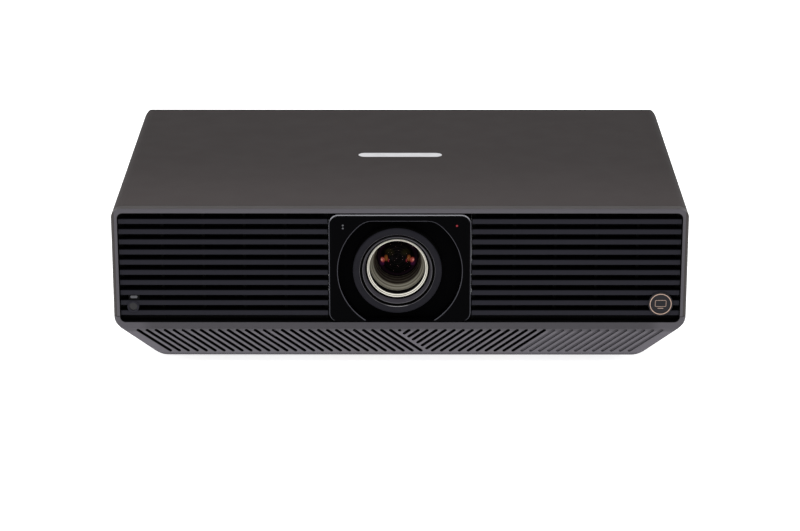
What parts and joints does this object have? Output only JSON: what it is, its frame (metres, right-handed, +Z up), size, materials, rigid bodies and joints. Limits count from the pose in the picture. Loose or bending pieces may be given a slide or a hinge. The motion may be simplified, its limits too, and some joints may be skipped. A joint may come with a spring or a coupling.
{
  "type": "home projector",
  "caption": "Wide flat home projector with louvred front, offset shifting zoom lens in a black panel, slanted slotted lower front, sockets at the rear and screw feet.",
  "frame": {"origin": "centre of the plan at the height of the soles of the feet", "axes": "+X to the right seen from the front, +Y from the lens to the rear, +Z up"},
  "size_m": [0.43, 0.29, 0.127],
  "materials": {
    "cover_plastic": "satin dark brown-grey, fine texture",
    "frame_plastic": "satin purplish grey",
    "slat_plastic": "matt charcoal",
    "screen_mesh": "black woven mesh",
    "gloss_panel": "piano black",
    "mask_black": "flocked black",
    "hood_black": "satin charcoal",
    "bright_ring": "pale ivory metal",
    "cell_grey": "olive-grey anodised",
    "lens_glass": "coated glass",
    "led_red": "red lens",
    "sensor_grey": "smoked grey",
    "ir_purple": "infra-red window",
    "badge_grey": "dark disc",
    "rose_ring": "rose-gold ring",
    "silver_inlay": "brushed silver",
    "rear_plastic": "matt dark grey",
    "socket_metal": "nickel-plated shell",
    "inlet_black": "black",
    "key_grey": "satin key",
    "rubber": "matt rubber",
    "steel": "ground steel",
    "brass": "machined",
    "screw_black": "black zinc",
    "aluminium": "cast or milled",
    "gear_plastic": "natural acetal",
    "motor_can": "plated can",
    "fan_plastic": "black glass-filled plastic",
    "board_green": "solder mask",
    "phosphor": "phosphor-coated disc"
  },
  "bodies": {
    "case": {"top_cover": "cover_plastic", "front_bezel": "frame_plastic", "lower_case": "frame_plastic", "left_louvres": "slat_plastic", "right_louvres": "slat_plastic", "dust_screens": "screen_mesh", "lens_panel": "gloss_panel", "status_led": "led_red", "sensor_windows": "sensor_grey", "ir_dome": "ir_purple", "badge_disc": "badge_grey", "badge_ring": "rose_ring", "top_inlay": "silver_inlay", "vertical_rods": "steel", "vertical_motor": "motor_can", "engine_housing": "aluminium", "imaging_chip": "aluminium", "laser_module": "aluminium", "laser_heat_sink": "aluminium", "phosphor_motor": "motor_can", "intake_fan_frame": "fan_plastic", "exhaust_fan_frame": "fan_plastic", "main_board": "board_green", "power_board": "board_green", "speakers": "inlet_black", "hdmi_ports": "socket_metal", "usb_ports": "socket_metal", "lan_port": "socket_metal", "mains_inlet": "inlet_black", "rear_panel": "rear_plastic", "rear_feet": "rubber", "mount_inserts": "brass", "case_screws": "screw_black"},
    "vertical_carriage": {"vertical_carriage": "aluminium", "horizontal_rods": "steel", "horizontal_motor": "motor_can"},
    "lens": {"horizontal_carriage": "aluminium", "lens_hood": "hood_black", "lens_barrel": "hood_black", "shift_mask": "mask_black", "focus_motor": "motor_can", "zoom_motor": "motor_can"},
    "focus_group": {"focus_cell": "cell_grey", "lens_retainer": "bright_ring", "front_element": "lens_glass"},
    "zoom_cell": {"zoom_group": "cell_grey"},
    "focus_ring": {"focus_ring": "gear_plastic"},
    "zoom_ring": {"zoom_ring": "gear_plastic"},
    "focus_pinion": {"focus_pinion": "brass"},
    "zoom_pinion": {"zoom_pinion": "brass"},
    "horizontal_screw": {"horizontal_screw": "steel"},
    "vertical_screw": {"vertical_screw": "steel"},
    "phosphor_wheel": {"phosphor_wheel": "phosphor"},
    "intake_fan_rotor": {"intake_fan_rotor": "fan_plastic"},
    "exhaust_fan_rotor": {"exhaust_fan_rotor": "fan_plastic"},
    "power_button": {"power_button": "key_grey"},
    "left_foot_stem": {"left_foot_stem": "steel"},
    "right_foot_stem": {"right_foot_stem": "steel"},
    "left_foot_knob": {"left_foot_knob": "rubber"},
    "right_foot_knob": {"right_foot_knob": "rubber"}
  },
  "joints": [
    {"name": "lens_shift_vertical", "type": "slide", "parent": "case", "child": "vertical_carriage", "axis": [0, 0, 1], "range_m": [-0.003, 0.003]},
    {"name": "lens_shift_horizontal", "type": "slide", "parent": "vertical_carriage", "child": "lens", "axis": [1, 0, 0], "range_m": [-0.0006, 0.0044]},
    {"name": "vertical_screw_turn", "type": "hinge", "parent": "case", "child": "vertical_screw", "pos_m": [0.038, -0.043, 0.0781], "axis": [0, 0, 1], "range_deg": [-545, 545]},
    {"name": "horizontal_screw_turn", "type": "hinge", "parent": "vertical_carriage", "child": "horizontal_screw", "pos_m": [0, -0.0605, 0.0401], "axis": [1, 0, 0], "range_deg": [-800, 115]},
    {"name": "focus_turn", "type": "hinge", "parent": "lens", "child": "focus_ring", "pos_m": [-0.0019, -0.114, 0.0781], "axis": [0, 1, 0], "range_deg": [-40, 40]},
    {"name": "focus_pinion_turn", "type": "hinge", "parent": "lens", "child": "focus_pinion", "pos_m": [0.0416, -0.114, 0.05781], "axis": [0, 1, 0], "range_deg": [-202, 202]},
    {"name": "focus_travel", "type": "slide", "parent": "lens", "child": "focus_group", "axis": [0, -1, 0], "range_m": [-0.0016, 0.0016]},
    {"name": "zoom_turn", "type": "hinge", "parent": "lens", "child": "zoom_ring", "pos_m": [-0.0019, -0.092, 0.0781], "axis": [0, 1, 0], "range_deg": [-35, 35]},
    {"name": "zoom_pinion_turn", "type": "hinge", "parent": "lens", "child": "zoom_pinion", "pos_m": [-0.0454, -0.092, 0.05781], "axis": [0, 1, 0], "range_deg": [-177, 177]},
    {"name": "zoom_travel", "type": "slide", "parent": "lens", "child": "zoom_cell", "axis": [0, -1, 0], "range_m": [-0.0042, 0.0042]},
    {"name": "phosphor_wheel_spin", "type": "hinge", "parent": "case", "child": "phosphor_wheel", "pos_m": [0.04, 0.041, 0.0781], "axis": [0, 1, 0], "continuous": true},
    {"name": "intake_fan_spin", "type": "hinge", "parent": "case", "child": "intake_fan_rotor", "pos_m": [-0.132, -0.12, 0.0781], "axis": [0, 1, 0], "continuous": true},
    {"name": "exhaust_fan_spin", "type": "hinge", "parent": "case", "child": "exhaust_fan_rotor", "pos_m": [0.132, -0.12, 0.0781], "axis": [0, 1, 0], "continuous": true},
    {"name": "power_button_press", "type": "slide", "parent": "case", "child": "power_button", "axis": [0, -1, 0], "range_m": [0, 0.0012], "stiffness_N_per_m": 600, "springref_m": -0.0015},
    {"name": "left_foot_lift", "type": "slide", "parent": "case", "child": "left_foot_stem", "axis": [0, 0, -1], "range_m": [0, 0.012]},
    {"name": "left_foot_turn", "type": "hinge", "parent": "left_foot_stem", "child": "left_foot_knob", "pos_m": [-0.14, -0.096, 0.004], "axis": [0, 0, -1], "range_deg": [-4, 3460]},
    {"name": "right_foot_lift", "type": "slide", "parent": "case", "child": "right_foot_stem", "axis": [0, 0, -1], "range_m": [0, 0.012]},
    {"name": "right_foot_turn", "type": "hinge", "parent": "right_foot_stem", "child": "right_foot_knob", "pos_m": [0.14, -0.096, 0.004], "axis": [0, 0, -1], "range_deg": [-4, 3460]}
  ],
  "couplings": [
    {"joint": "vertical_screw_turn", "follows": "lens_shift_vertical", "rad_per_m": -3141.6},
    {"joint": "horizontal_screw_turn", "follows": "lens_shift_horizontal", "rad_per_m": -3141.6},
    {"joint": "focus_pinion_turn", "follows": "focus_turn", "ratio": -5},
    {"joint": "focus_travel", "follows": "focus_turn", "m_per_rad": 0.0021486},
    {"joint": "zoom_pinion_turn", "follows": "zoom_turn", "ratio": -5},
    {"joint": "zoom_travel", "follows": "zoom_turn", "m_per_rad": 0.0065481},
    {"joint": "left_foot_turn", "follows": "left_foot_lift", "rad_per_m": 5026.5},
    {"joint": "right_foot_turn", "follows": "right_foot_lift", "rad_per_m": 5026.5}
  ]
}
